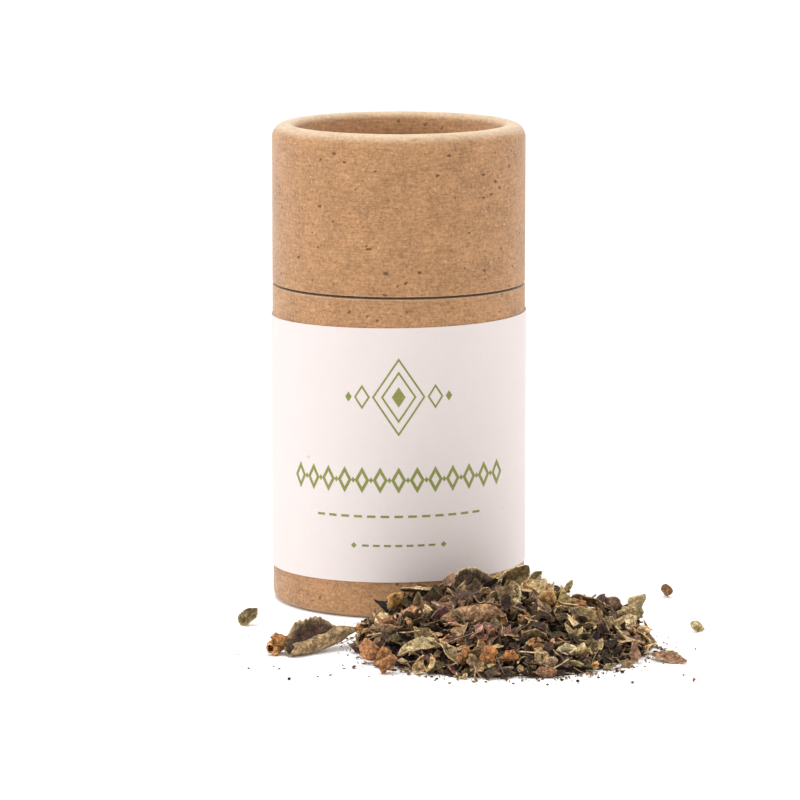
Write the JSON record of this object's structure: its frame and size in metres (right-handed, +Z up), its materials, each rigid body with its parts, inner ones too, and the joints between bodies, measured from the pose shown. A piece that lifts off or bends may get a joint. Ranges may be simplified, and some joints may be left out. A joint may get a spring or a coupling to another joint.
{
  "type": "lidded paper tube with a heap of dried herb",
  "caption": "Round kraft paper tube with a lift-off cap, rolled ends and a wrapped label, and a heap of crumbled dried holy basil spilt at its foot.",
  "frame": {"origin": "middle of the whole footprint, on the table the tube and the heap stand on", "axes": "+Z up the tube, -Y towards the front of the label, +X to the right as the label is read"},
  "size_m": [0.1076, 0.1328, 0.1137],
  "materials": {
    "kraft_board": "matte",
    "label_paper": "matte",
    "dried_leaf": "matte",
    "dried_calyx": "matte"
  },
  "bodies": {
    "root": {"tube_body": "kraft_board", "base_disc": "kraft_board", "neck_sleeve": "kraft_board", "cap_shell": "kraft_board", "cap_disc": "kraft_board", "label": "label_paper", "herb_heap": "dried_leaf", "leaf_curled_left": "dried_leaf", "calyx_left": "dried_calyx", "leaf_bit_left": "dried_leaf", "leaf_flake_right": "dried_leaf", "leaf_bit_right": "dried_leaf", "calyx_bit_behind": "dried_calyx"}
  },
  "joints": []
}
